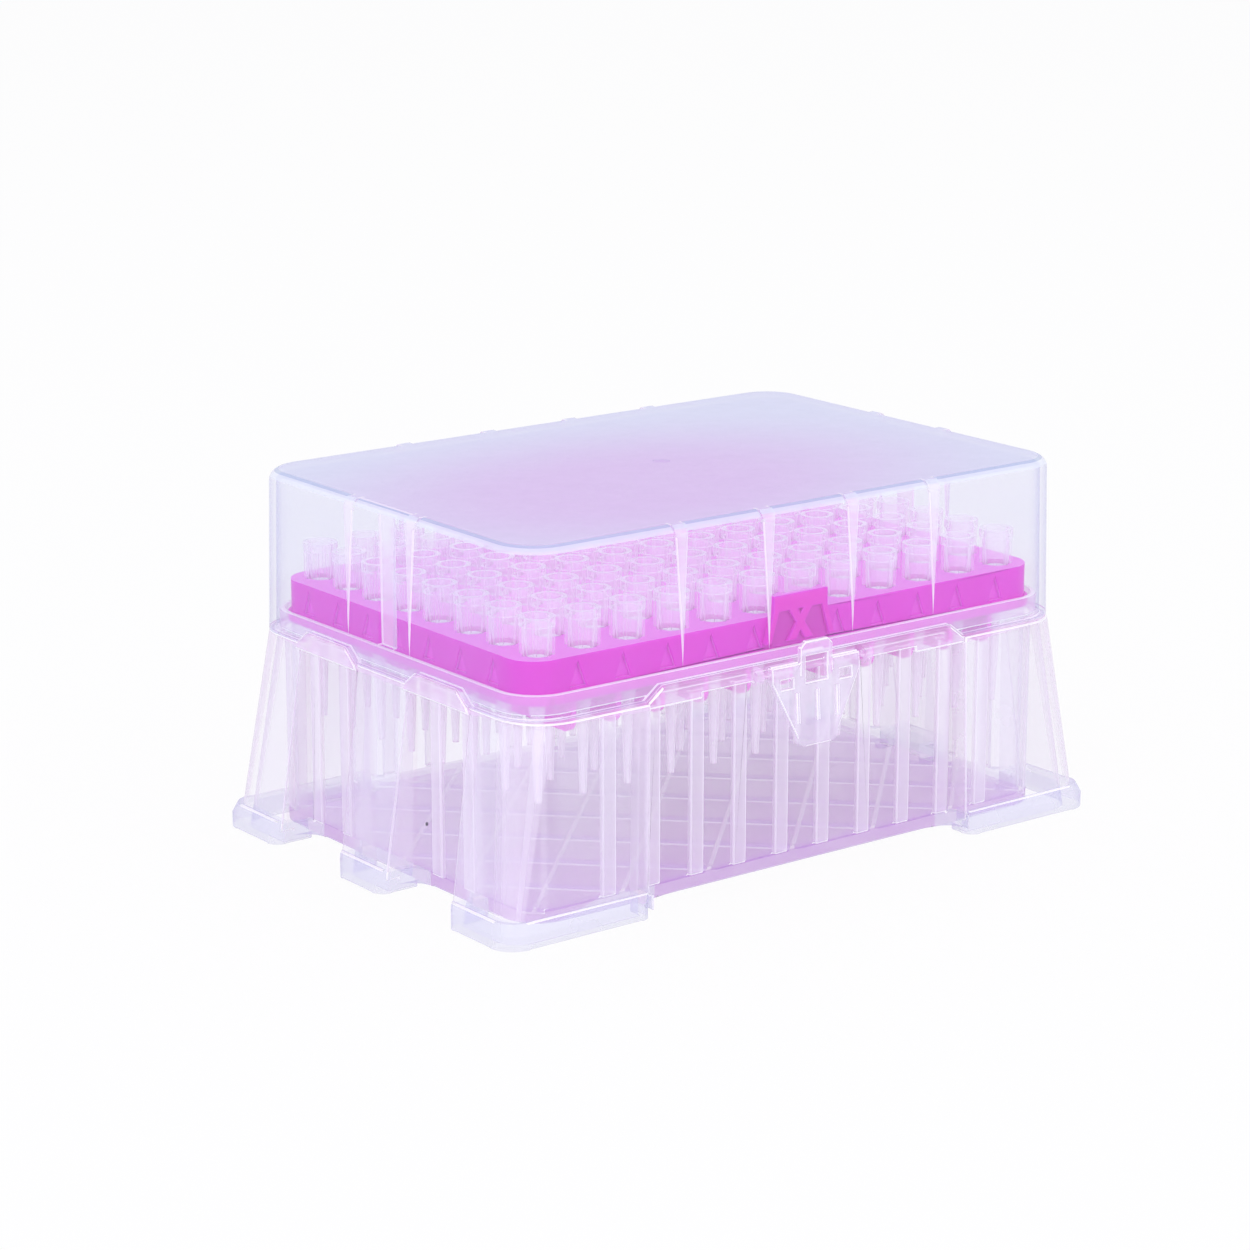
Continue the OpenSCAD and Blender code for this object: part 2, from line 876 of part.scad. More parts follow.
// One filter plug inside a tip
module filter() {
    widen = (filter_top_r - filter_r) / (filter_l + 0.3);
    z0 = 0.1;
    rotate_extrude()
        polygon([
            [0, filter_z + z0], [filter_r - filter_clear, filter_z + z0],
            [filter_r + widen * filter_l - filter_clear, filter_z + z0 + filter_l],
            [0, filter_z + z0 + filter_l]]);
}

// Eight tips or filters of column i, counted from the left
module column(i) {
    for (j = [0 : rows - 1])
        translate([(i - 1) * pitch - grid_x, j * pitch - grid_y, 0])
            children();
}

module tips_column(i) {
    color("white", 0.6)
        column(i)
            tip();
}

module filters_column(i) {
    color("ivory")
        column(i)
            filter();
}

base();
tip_plate();
lid();
latch();
tips_column(1);  // tips_column_01
tips_column(2);  // tips_column_02
tips_column(3);  // tips_column_03
tips_column(4);  // tips_column_04
tips_column(5);  // tips_column_05
tips_column(6);  // tips_column_06
tips_column(7);  // tips_column_07
tips_column(8);  // tips_column_08
tips_column(9);  // tips_column_09
tips_column(10);  // tips_column_10
tips_column(11);  // tips_column_11
tips_column(12);  // tips_column_12
filters_column(1);  // filters_column_01
filters_column(2);  // filters_column_02
filters_column(3);  // filters_column_03
filters_column(4);  // filters_column_04
filters_column(5);  // filters_column_05
filters_column(6);  // filters_column_06
filters_column(7);  // filters_column_07
filters_column(8);  // filters_column_08
filters_column(9);  // filters_column_09
filters_column(10);  // filters_column_10
filters_column(11);  // filters_column_11
filters_column(12);  // filters_column_12
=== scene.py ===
import math

import bpy
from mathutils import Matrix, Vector


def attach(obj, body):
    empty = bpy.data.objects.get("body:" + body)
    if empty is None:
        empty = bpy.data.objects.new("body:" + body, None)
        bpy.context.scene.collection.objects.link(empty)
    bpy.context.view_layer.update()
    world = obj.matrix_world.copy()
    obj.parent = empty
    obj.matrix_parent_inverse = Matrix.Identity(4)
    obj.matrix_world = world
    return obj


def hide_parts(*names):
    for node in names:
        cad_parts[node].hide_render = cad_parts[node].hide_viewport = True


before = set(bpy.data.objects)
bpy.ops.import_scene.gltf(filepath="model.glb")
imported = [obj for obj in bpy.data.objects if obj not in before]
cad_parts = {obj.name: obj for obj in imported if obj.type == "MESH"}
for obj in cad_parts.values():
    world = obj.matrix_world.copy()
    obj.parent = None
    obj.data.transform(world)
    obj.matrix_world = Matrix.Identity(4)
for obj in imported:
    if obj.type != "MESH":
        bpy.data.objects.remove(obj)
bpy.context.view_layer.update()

# Closed box of filtered pipette tips on a pale floor.
# Lengths are in metres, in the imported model's frame. MM turns millimetres into metres.

MM = 0.001
COLUMNS = ["%02d" % i for i in range(1, 13)]


# ---------- colours and nodes ----------

def linear(code):
    """An sRGB hex colour as the linear one that shaders take."""
    parts = [int(code[i:i + 2], 16) / 255 for i in (1, 3, 5)]
    light = [c / 12.92 if c <= 0.04045 else ((c + 0.055) / 1.055) ** 2.4 for c in parts]
    return (*light, 1.0)


def add_node(tree, kind, settings=None, inputs=None):
    """One node with its settings. An input takes a value, or another node's socket."""
    made = tree.nodes.new(kind)
    for name, value in (settings or {}).items():
        setattr(made, name, value)
    for name, value in (inputs or {}).items():
        if isinstance(value, bpy.types.NodeSocket):
            tree.links.new(value, made.inputs[name])
        else:
            made.inputs[name].default_value = value
    return made


def new_material(name):
    """An empty material, its node tree and its output node."""
    made = bpy.data.materials.new(name)
    made.use_nodes = True
    made.node_tree.nodes.clear()
    return made, made.node_tree, add_node(made.node_tree, "ShaderNodeOutputMaterial")


# ---------- materials ----------

POLYPROPYLENE_IOR = 1.49
# Haze grows with this power of how far a wall turns edge on, and is full at FULL_HAZE of it
EDGE_ON_POWER = 3.0
FULL_HAZE = 0.55
# Flow marks thin and thicken the haze by these factors
THIN_MARK, THICK_MARK = 0.93, 1.07
# Share of the haze that light on its way to what is inside meets
CARRIED_HAZE = 0.09
# The lid's top has the rack's pink glow painted over an oval of about this half size in
# millimetres, which lies off the middle by this share of it, the other way
PAINTED_PINK_GLOW_OVAL = (58, 40)
PAINTED_PINK_GLOW_SHIFT = (0.25, 0.3, 0)


def milky_share(tree, place, marks, haze, rim_haze, density):
    """The share of a clear wall that is haze: more of it where the wall is seen edge on."""
    facing = add_node(tree, "ShaderNodeLayerWeight", None, {"Blend": 0.5})
    steep = add_node(tree, "ShaderNodeMath", {"operation": "POWER"},
                     {0: facing.outputs["Facing"], 1: EDGE_ON_POWER})
    edge_on = add_node(tree, "ShaderNodeMapRange", None,
                       {"Value": steep.outputs["Value"], "From Max": FULL_HAZE,
                        "To Min": haze, "To Max": rim_haze})
    patchy = add_node(tree, "ShaderNodeMapRange", None,
                      {"Value": marks, "From Min": 0.3, "From Max": 0.7,
                       "To Min": THIN_MARK, "To Max": THICK_MARK})
    milky = add_node(tree, "ShaderNodeMath", {"operation": "MULTIPLY"},
                     {0: edge_on.outputs["Result"], 1: patchy.outputs["Result"]})
    if density:
        (low, low_factor), (high, high_factor) = density
        height = add_node(tree, "ShaderNodeSeparateXYZ", None, {"Vector": place})
        wall = add_node(tree, "ShaderNodeMapRange", None,
                        {"Value": height.outputs["Z"], "From Min": low * MM, "From Max": high * MM,
                         "To Min": low_factor, "To Max": high_factor})
        milky = add_node(tree, "ShaderNodeMath", {"operation": "MULTIPLY", "use_clamp": True},
                         {0: milky.outputs["Value"], 1: wall.outputs["Result"]})
    path = add_node(tree, "ShaderNodeLightPath")
    carried = add_node(tree, "ShaderNodeMath", {"operation": "MAXIMUM"},
                       {0: path.outputs["Is Shadow Ray"], 1: path.outputs["Is Diffuse Ray"]})
    passing = add_node(tree, "ShaderNodeMapRange", None,
                       {"Value": carried.outputs["Value"], "To Min": 1.0, "To Max": CARRIED_HAZE})
    share = add_node(tree, "ShaderNodeMath", {"operation": "MULTIPLY"},
                     {0: milky.outputs["Value"], 1: passing.outputs["Result"]})
    return share.outputs["Value"]


def painted_pink_glow_in_middle(tree, place, body, middle):
    """A painted pink glow: a panel's colour that goes from the middle one to the body's over an
    oval.
    """
    across = add_node(tree, "ShaderNodeMapping", None,
                      {"Vector": place, "Location": PAINTED_PINK_GLOW_SHIFT,
                       "Scale": (1 / (PAINTED_PINK_GLOW_OVAL[0] * MM), 1 / (PAINTED_PINK_GLOW_OVAL[1] * MM), 0)})
    out_from_middle = add_node(tree, "ShaderNodeVectorMath", {"operation": "LENGTH"},
                               {0: across.outputs["Vector"]})
    fade = add_node(tree, "ShaderNodeMapRange", {"interpolation_type": "SMOOTHSTEP"},
                    {"Value": out_from_middle.outputs["Value"], "From Min": 0.3, "From Max": 1.35})
    tone = add_node(tree, "ShaderNodeMix", {"data_type": "RGBA"},
                    {"Factor": fade.outputs["Result"], "A": linear(middle), "B": linear(body)})
    return tone.outputs["Result"]


def clear_polypropylene(name, body, haze, rim_haze, flow=9.0, roughness=0.16, middle=None,
                        density=None):
    """Clarified polypropylene, injection moulded: see-through with a faint milky haze that
    thickens where the wall is seen edge on, glossy, with soft flow marks from the mould. Light
    passes on through it to what is inside. A panel with a middle colour has the rack's pink glow
    painted there. Density makes it milkier or clearer at a low and at a high place: each is a
    height in millimetres and a factor."""
    material, tree, output = new_material(name)
    place = add_node(tree, "ShaderNodeTexCoord").outputs["Object"]
    marks = add_node(tree, "ShaderNodeTexNoise", None,
                     {"Vector": place, "Scale": 1 / (flow * MM), "Detail": 3.0,
                      "Roughness": 0.45}).outputs["Fac"]
    share = milky_share(tree, place, marks, haze, rim_haze, density)
    colour = painted_pink_glow_in_middle(tree, place, body, middle) if middle else linear(body)
    ripple = add_node(tree, "ShaderNodeBump", None,
                      {"Height": marks, "Strength": 0.12, "Distance": 0.2 * MM})
    skin = add_node(tree, "ShaderNodeBsdfPrincipled", None,
                    {"Base Color": colour, "Roughness": roughness, "IOR": POLYPROPYLENE_IOR,
                     "Normal": ripple.outputs["Normal"]})
    through = add_node(tree, "ShaderNodeBsdfTransparent", None, {"Color": linear("#FFFFFF")})
    both = add_node(tree, "ShaderNodeMixShader", None,
                    {"Fac": share, 1: through.outputs["BSDF"], 2: skin.outputs["BSDF"]})
    tree.links.new(both.outputs["Shader"], output.inputs["Surface"])
    return material


def pink_polypropylene(name, tone_a, tone_b):
    """Masterbatch-coloured polypropylene, injection moulded: strong even pink, satin, with a very
    fine mould grain. Light soaks a little way into it, so its thin webs glow instead of going
    dark."""
    material, tree, output = new_material(name)
    place = add_node(tree, "ShaderNodeTexCoord").outputs["Object"]
    flow = add_node(tree, "ShaderNodeTexNoise", None,
                    {"Vector": place, "Scale": 1 / (14 * MM), "Detail": 2.0})
    tone = add_node(tree, "ShaderNodeMix", {"data_type": "RGBA"},
                    {"Factor": flow.outputs["Fac"], "A": linear(tone_a), "B": linear(tone_b)})
    grain = add_node(tree, "ShaderNodeTexNoise", None,
                     {"Vector": place, "Scale": 1 / (0.5 * MM), "Detail": 1.0})
    skin = add_node(tree, "ShaderNodeBump", None,
                    {"Height": grain.outputs["Fac"], "Strength": 0.1, "Distance": 0.05 * MM})
    body = add_node(tree, "ShaderNodeBsdfPrincipled", None,
                    {"Base Color": tone.outputs["Result"], "Roughness": 0.38,
                     "IOR": POLYPROPYLENE_IOR, "Subsurface Weight": 0.35,
                     "Subsurface Radius": (1.0, 0.3, 0.8), "Subsurface Scale": 2.0 * MM,
                     "Normal": skin.outputs["Normal"]})
    tree.links.new(body.outputs["BSDF"], output.inputs["Surface"])
    return material


def filter_foam():
    """Sintered polyethylene, a porous plug: matte white with fine round pores."""
    material, tree, output = new_material("sintered_filter_foam")
    place = add_node(tree, "ShaderNodeTexCoord").outputs["Object"]
    pores = add_node(tree, "ShaderNodeTexVoronoi", None,
                     {"Vector": place, "Scale": 1 / (0.35 * MM)}).outputs["Distance"]
    tone = add_node(tree, "ShaderNodeMix", {"data_type": "RGBA"},
                    {"Factor": pores, "A": linear("#F6F3FA"), "B": linear("#E9E2F2")})
    rough = add_node(tree, "ShaderNodeBump", None,
                     {"Height": pores, "Strength": 0.5, "Distance": 0.08 * MM})
    body = add_node(tree, "ShaderNodeBsdfPrincipled", None,
                    {"Base Color": tone.outputs["Result"], "Roughness": 0.9,
                     "Specular IOR Level": 0.2, "Normal": rough.outputs["Normal"]})
    tree.links.new(body.outputs["BSDF"], output.inputs["Surface"])
    return material


def black_grit():
    """Burnt polymer grit: a matte black grain with a rough broken surface."""
    material, tree, output = new_material("burnt_grit")
    place = add_node(tree, "ShaderNodeTexCoord").outputs["Object"]
    breaks = add_node(tree, "ShaderNodeTexNoise", None,
                      {"Vector": place, "Scale": 1 / (0.1 * MM), "Detail": 2.0})
    tone = add_node(tree, "ShaderNodeMix", {"data_type": "RGBA"},
                    {"Factor": breaks.outputs["Fac"], "A": linear("#1A1420"),
                     "B": linear("#33283C")})
    body = add_node(tree, "ShaderNodeBsdfPrincipled", None,
                    {"Base Color": tone.outputs["Result"], "Roughness": 0.8})
    tree.links.new(body.outputs["BSDF"], output.inputs["Surface"])
    return material


# ---------- making a piece ----------

# Edges sharper than this angle and longer than this many millimetres are rounded
SHARP_ANGLE = 40
SLIVER = 0.8
# Corners this near, in millimetres, are one corner, and faces within this angle are one face
WELD = 0.002
FLAT_ANGLE = 0.6
SMOOTH_ANGLE = 32
# Places in a piece's list of materials that its faces and its rounded edges start with
FACES, EDGES = 0, 1


def deselect_all():
    bpy.ops.object.select_all(action="DESELECT")


def round_outer_edges(piece, width):
    """Rounds the sharp outer edges that are longer than a sliver, and gives the rounding the
    second material. Nothing rises above the piece's own top."""
    bpy.ops.object.mode_set(mode="EDIT")
    bpy.ops.mesh.select_mode(type="EDGE")
    bpy.ops.mesh.select_all(action="DESELECT")
    bpy.ops.object.mode_set(mode="OBJECT")
    beside = {}
    for face in piece.data.polygons:
        for pair in face.edge_keys:
            beside.setdefault(pair, []).append(face)
    corners = piece.data.vertices
    top = max(corner.co.z for corner in corners)
    for edge in piece.data.edges:
        faces = beside.get(edge.key, [])
        if len(faces) == 2:
            one, other = faces
            length = (corners[edge.vertices[0]].co - corners[edge.vertices[1]].co).length
            sharp = one.normal.dot(other.normal) < math.cos(math.radians(SHARP_ANGLE))
            outer = (other.center - one.center).dot(one.normal) < 0
            edge.select = length > SLIVER * MM and sharp and outer
    bpy.ops.object.mode_set(mode="EDIT")
    bpy.ops.mesh.bevel(offset=width * MM, segments=2, affect="EDGES", clamp_overlap=False,
                       material=EDGES)
    bpy.ops.object.mode_set(mode="OBJECT")
    for corner in piece.data.vertices:
        corner.co.z = min(corner.co.z, top)


def joined_copy(node, name, body, finishes, edge_width, cut_height=None):
    """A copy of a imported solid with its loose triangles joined, so that it shades smoothly, and
    its edges rounded. It stands in for the solid. Finishes are named materials: the first is for
    its faces and the second for its rounded edges. A cut height parts its upright faces there, for
    another finish below. Returns the piece and each finish's place in its list of materials."""
    deselect_all()
    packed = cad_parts[node]
    piece = bpy.data.objects.new(name, packed.data.copy())
    piece.data.name = name
    bpy.context.scene.collection.objects.link(piece)
    bpy.context.view_layer.objects.active = piece
    piece.select_set(True)
    bpy.ops.object.mode_set(mode="EDIT")
    bpy.ops.mesh.select_all(action="SELECT")
    bpy.ops.mesh.remove_doubles(threshold=WELD * MM)
    bpy.ops.mesh.customdata_custom_splitnormals_clear()
    bpy.ops.mesh.dissolve_limited(angle_limit=math.radians(FLAT_ANGLE))
    # small faces keep their shape when the edges beside them are rounded, which big many-sided
    # ones don't
    bpy.ops.mesh.quads_convert_to_tris(quad_method="BEAUTY", ngon_method="BEAUTY")
    bpy.ops.mesh.tris_convert_to_quads(face_threshold=math.radians(1),
                                       shape_threshold=math.radians(60))
    if cut_height:
        bpy.ops.mesh.select_all(action="SELECT")
        bpy.ops.mesh.bisect(plane_co=(0, 0, cut_height * MM), plane_no=(0, 0, 1))
    bpy.ops.object.mode_set(mode="OBJECT")
    piece.data.materials.clear()
    for material in finishes.values():
        piece.data.materials.append(material)
    round_outer_edges(piece, edge_width)
    bpy.ops.object.shade_smooth_by_angle(angle=math.radians(SMOOTH_ANGLE))
    flats = piece.modifiers.new("flats", "WEIGHTED_NORMAL")
    flats.keep_sharp = True
    bpy.ops.object.modifier_apply(modifier="flats")
    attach(piece, body)
    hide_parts(node)
    return piece, {finish: index for index, finish in enumerate(finishes)}


def dress(node, *materials):
    """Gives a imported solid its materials."""
    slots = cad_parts[node].data.materials
    slots.clear()
    for material in materials:
        slots.append(material)


def give_faces(piece, index, belongs):
    """Gives the flat faces that belong to one part of a piece that part's material. The test
    takes a face's middle, in millimetres, and its normal."""
    for face in piece.data.polygons:
        if face.material_index == FACES and belongs(face.center / MM, face.normal):
            face.material_index = index


def near(value, places, reach):
    """Whether a value, or its mirror image, is within reach of one of the places."""
    return any(abs(abs(value) - place) < reach for place in places)


# ---------- where the pieces' parts are, in millimetres ----------

# The middle of a face may be this far off the surface it lies on
ON_SURFACE = 0.05
NEAR_SURFACE = 0.1
# Parts of a face's normal: it looks along an axis over ALONG, mostly along it over MOSTLY, is
# upright under UPRIGHT, looks down or back over TURNED_AWAY, and in at the middle over INWARD
ALONG = 0.9
MOSTLY = 0.8
UPRIGHT = 0.2
TURNED_AWAY = 0.3
INWARD = 0.15

# The tub: half sizes of its outside, its wall and its round corner
TUB_X, TUB_Y = 56.2, 37.8
TUB_WALL = 1.2
TUB_CORNER = 6.6
# Faces that look in are told by a box this far inside the tub's outside
TUB_MIDDLE_INSET = 8
# A face this far into the wall is still in the tub, and ribs stand out less than TUB_RIB_OUT
IN_WALL = 0.2
TUB_RIB_OUT = 0.9
# The tub's round corners are those faces that turn this far to the short sides
CORNER_TURN = 0.35
# The heights of the floor and of the tub's low edge
FLOOR_TOP = 2.9
FLOOR_EDGE = 3.8
# The feet: below FOOT_LOW lie their bottom edges, and they end at FOOT_EDGE
FOOT_LOW = 1.5
FOOT_EDGE = 4.4
# The ledge and the rim above it
LEDGE = 34.4
LEDGE_TOP = 37.6
LEDGE_X, LEDGE_Y = 58.9, 40.5
# The ledge's outer edges lie this near to its side, or this near to the tub's corner
LEDGE_SIDE, LEDGE_CORNER = 0.7, 6
# Faces that look down or in hardly show from this far below the ledge
LEDGE_UNDER = 1.5
# The roundings of its low edge lie this far above it, within this reach, and those of its top
# edge start this far below its top. The tub's painted highlight lines end this far below the ledge
LEDGE_LOW_EDGE, LEDGE_LOW_REACH = 0.2, 0.6
LEDGE_TOP_EDGE = 0.6
LINE_END = 0.5
RIM_TOP = 39.3
# The lid: half sizes and height of its low edge, its top, how far its walls lean in, the places
# of its ribs, and those of the stiffeners inside its short walls
LID_X, LID_Y = 58.6, 40.2
LID_EDGE, LID_TOP, LID_LEAN = 35.6, 63.6, 0.6
LID_RIBS = (9.0, 27.0)
STIFFENER_X, STIFFENER_Y, STIFFENER_DEPTH = 56.0, 2.35, 0.8
# Half the width of a lid's rib, how far it stands out at least, and how far up it starts
LID_RIB_HALF, LID_RIB_OUT, LID_RIB_UP = 1.6, 0.08, 4
# The lid's top and its painted reflection line lie within LID_ROUND of its top, and its painted
# reflection band within LID_BAND_ROUND. The normals of the three point up by more than this
LID_ROUND = 2
LID_BAND_ROUND = 2.2
TOP_UP, LINE_UP, BAND_UP = 0.99, 0.85, 0.45
# The plate: half sizes, depth of its side grooves, back of its tab, and its heights
PLATE_X, PLATE_Y = 55.0, 36.4
GROOVE = 0.7
# Grooves end this far from the plate's corners, and the normals of their sides point less than
# this out of the plate
GROOVE_END, GROOVE_TURN = 3, 0.5
TAB_BACK = 37.0
WEB_TOP = 36.5
SKIRT_LOW = 38.8
PLATE_TOP = 44.4
# The speck in the tub's left wall
SPECK_AT = (-55.85, -9.1, 11.5)
SPECK_RADIUS = 0.3

# Haze at a low and at a high place: each is a height and a factor
TIP_TAPER = ((32.0, 1.9), (46.0, 1.1))
LONG_WALL_HAZE = ((6.0, 0.6), (28.0, 1.9))


# ---------- pieces ----------

def build_base(finishes):
    """The tub with its floor, ribs, ledge, rim and feet."""
    piece, place = joined_copy("base", "clear_base", "case", finishes,
                               edge_width=0.28, cut_height=FLOOR_EDGE)

    def in_tub(at):
        return (abs(at.x) < TUB_X - TUB_WALL + IN_WALL
                and abs(at.y) < TUB_Y - TUB_WALL + IN_WALL)

    def outside_tub(at):
        out_x = max(abs(at.x) - TUB_X + TUB_CORNER, 0)
        out_y = max(abs(at.y) - TUB_Y + TUB_CORNER, 0)
        return math.hypot(out_x, out_y) > TUB_CORNER + ON_SURFACE

    def at_ledge_side(at):
        at_side = abs(at.x) > LEDGE_X - LEDGE_SIDE or abs(at.y) > LEDGE_Y - LEDGE_SIDE
        at_corner = abs(at.x) > TUB_X - LEDGE_CORNER and abs(at.y) > TUB_Y - LEDGE_CORNER
        return at_side or at_corner

    def faces_in(at, normal):
        middle_x, middle_y = TUB_X - TUB_MIDDLE_INSET, TUB_Y - TUB_MIDDLE_INSET
        out_x = at.x - max(-middle_x, min(middle_x, at.x))
        out_y = at.y - max(-middle_y, min(middle_y, at.y))
        return normal.x * out_x + normal.y * out_y < -INWARD * math.hypot(out_x, out_y)

    def on_wall(at):
        return FLOOR_EDGE < at.z < LEDGE

    def is_rib(at, normal):
        return (on_wall(at) and outside_tub(at)
                and abs(at.y) < TUB_Y + TUB_RIB_OUT and abs(at.x) < TUB_X + TUB_RIB_OUT)

    def is_foot_side(at, normal):
        return (on_wall(at) and outside_tub(at)
                and (abs(normal.x) > MOSTLY and abs(at.y) > TUB_Y
                     or abs(normal.y) > MOSTLY and abs(at.x) > TUB_X))

    def is_long_wall(at, normal):
        return (on_wall(at) and abs(normal.y) > ALONG
                and near(at.y, (TUB_Y, TUB_Y - TUB_WALL), NEAR_SURFACE))

    def is_round_corner(at, normal):
        return (on_wall(at) and abs(normal.x) > CORNER_TURN and not in_tub(at)
                and abs(at.x) > TUB_X - TUB_CORNER and abs(at.y) > TUB_Y - TUB_CORNER)

    # the ledge's inner and under faces hardly show, and only edges that face out get painted white
    # highlight lines
    for face in piece.data.polygons:
        at = face.center / MM
        rounded = face.material_index == EDGES
        under = face.material_index == FACES and face.normal.z < -TURNED_AWAY
        if at.z > LEDGE - LEDGE_UNDER and (under or faces_in(at, face.normal)):
            face.material_index = place["inside"]
        elif rounded and (in_tub(at) or at.z > LEDGE_TOP - LEDGE_TOP_EDGE and outside_tub(at)):
            face.material_index = place["wall"]
        elif (rounded and near(at.z, (LEDGE + LEDGE_LOW_EDGE,), LEDGE_LOW_REACH)
              and not at_ledge_side(at)):
            face.material_index = place["inside"]
        elif rounded and at.z < FOOT_LOW:
            face.material_index = place["foot"]
        elif rounded and FOOT_EDGE < at.z < LEDGE - LINE_END:
            face.material_index = place["line"]
    # the floor and the low edge of the tub have the rack's pink glow painted in, paler on its ribs
    give_faces(piece, place["floor"],
               lambda at, normal: in_tub(at) and at.z < FLOOR_TOP + ON_SURFACE)
    give_faces(piece, place["floor_rib"],
               lambda at, normal: in_tub(at) and at.z < FLOOR_EDGE + NEAR_SURFACE)
    give_faces(piece, place["floor"],
               lambda at, normal: (at.z < FLOOR_EDGE and not outside_tub(at)
                                   and abs(normal.z) < UPRIGHT))
    # the rim's narrow top gets the same painted white highlight as its edges, and the ledge's and
    # the feet's tops are nearly as white
    give_faces(piece, place["edge"],
               lambda at, normal: normal.z > ALONG and at.z > RIM_TOP - NEAR_SURFACE)
    give_faces(piece, place["band"], lambda at, normal: at.z > LEDGE and outside_tub(at))
    give_faces(piece, place["foot"], lambda at, normal: at.z < FOOT_EDGE and outside_tub(at))
    # ribs and the sides of the feet are thicker to look through
    give_faces(piece, place["rib"], is_rib)
    give_faces(piece, place["foot_side"], is_foot_side)
    # the tub's long walls are milky below the ledge and clear at the floor, and its round corners
    # are milky where they turn to the short sides
    give_faces(piece, place["long_wall"], is_long_wall)
    give_faces(piece, place["foot_side"], is_round_corner)


def build_lid(finishes):
    """The lid with its ribs and hinge clips."""
    piece, place = joined_copy("lid", "clear_lid", "lid", finishes,
                               edge_width=0.22)

    def proud(at):
        lean = LID_LEAN * (at.z - LID_EDGE) / (LID_TOP - LID_EDGE)
        on_long = near(at.x, LID_RIBS, LID_RIB_HALF) and abs(at.y) > LID_Y - lean + LID_RIB_OUT
        on_short = (near(at.y, LID_RIBS[:1], LID_RIB_HALF)
                    and abs(at.x) > LID_X - lean + LID_RIB_OUT)
        return on_long or on_short

    def in_stiffener(at):
        return (abs(at.y) < STIFFENER_Y
                and STIFFENER_X < abs(at.x) < STIFFENER_X + STIFFENER_DEPTH)

    give_faces(piece, place["top"],
               lambda at, normal: abs(normal.z) > TOP_UP and at.z > LID_TOP - LID_ROUND)
    give_faces(piece, place["rib"],
               lambda at, normal: (at.z > LID_EDGE + LID_RIB_UP
                                   and (proud(at) or in_stiffener(at))))
    # the rounded edge of the lid has a painted reflection: a thin grey-blue line above a pale band
    give_faces(piece, place["painted_reflection_line"],
               lambda at, normal: normal.z > LINE_UP and at.z > LID_TOP - LID_ROUND)
    give_faces(piece, place["painted_reflection_band"],
               lambda at, normal: normal.z > BAND_UP and at.z > LID_TOP - LID_BAND_ROUND)


def build_latch(finishes):
    """The latch on the case's front."""
    piece, place = joined_copy("latch", "clear_latch", "latch", finishes,
                               edge_width=0.2)
    # faces that look back at the case hardly show, and the front edges get a painted white
    # highlight
    for face in piece.data.polygons:
        if face.normal.y > TURNED_AWAY:
            face.material_index = place["inside"]


def build_plate(finishes):
    """The rack plate with its skirt, webs and tab."""
    piece, place = joined_copy("tip_plate", "pink_plate", "case", finishes,
                               edge_width=0.18)

    def between(value, outer):
        return outer - GROOVE - ON_SURFACE < abs(value) < outer - ON_SURFACE

    def groove_side(at, normal):
        in_long = (between(at.y, PLATE_Y) and abs(normal.y) < GROOVE_TURN
                   and abs(at.x) < PLATE_X - GROOVE_END)
        in_short = (between(at.x, PLATE_X) and abs(normal.x) < GROOVE_TURN
                    and abs(at.y) < PLATE_Y - GROOVE_END)
        return at.z > SKIRT_LOW and (in_long or in_short)

    def groove_back(at, normal):
        return (near(at.y, (PLATE_Y - GROOVE,), ON_SURFACE) and abs(normal.y) > ALONG
                or near(at.x, (PLATE_X - GROOVE,), ON_SURFACE) and abs(normal.x) > ALONG)

    def tab_hollow(at, normal):
        return abs(at.y + TAB_BACK) < ON_SURFACE and normal.y < -ALONG

    def tab_front(at, normal):
        return at.z > SKIRT_LOW and at.y < -TAB_BACK - ON_SURFACE and normal.y < -ALONG

    # the tab and the hollows of its brace have painted shade, a deeper pink, and the grooves and
    # thin webs painted light, a lighter pink, on top of the light that soaks in
    give_faces(piece, place["deep"], tab_hollow)
    give_faces(piece, place["tab"], tab_front)
    give_faces(piece, place["thin"], groove_back)
    # painted light: the grooves' sides get the pale pink
    give_faces(piece, place["top"], groove_side)
    give_faces(piece, place["thin"], lambda at, normal: at.z < WEB_TOP)
    # painted highlight: the plate's upward faces get the pale pink
    give_faces(piece, place["top"],
               lambda at, normal: normal.z > ALONG and at.z > PLATE_TOP - NEAR_SURFACE)


def build_speck(grit):
    """A grain of black grit moulded into the tub's left wall."""
    deselect_all()
    bpy.ops.mesh.primitive_ico_sphere_add(subdivisions=2, radius=SPECK_RADIUS * MM,
                                          location=[at * MM for at in SPECK_AT])
    piece = bpy.context.active_object
    piece.name = "wall_speck"
    piece.scale = (0.7, 1.0, 1.15)
    bpy.ops.object.transform_apply(location=True, rotation=True, scale=True)
    bpy.ops.object.mode_set(mode="EDIT")
    bpy.ops.mesh.select_all(action="SELECT")
    bpy.ops.transform.vertex_random(offset=0.05 * MM, seed=3)
    bpy.ops.object.mode_set(mode="OBJECT")
    piece.data.materials.append(grit)
    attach(piece, "case")


def dress_tips(tip, foam):
    """Gives the tips and their filters, column by column, their materials."""
    for number in COLUMNS:
        dress("tips_column_" + number, tip)
        dress("filters_column_" + number, foam)


# ---------- floor, light and camera ----------

# Share of the floor's look that is plain white, and not shaded
FLOOR_GLOW = 0.94
# The camera's place and target in metres, its angle of view in degrees, its sensor in millimetres
CAMERA_AT = (-0.3688, -0.4712, 0.1934)
CAMERA_TARGET = (0.00025, 0.01056, 0.03213)
VIEW_ANGLE = 19.92
SENSOR_WIDTH = 36.0


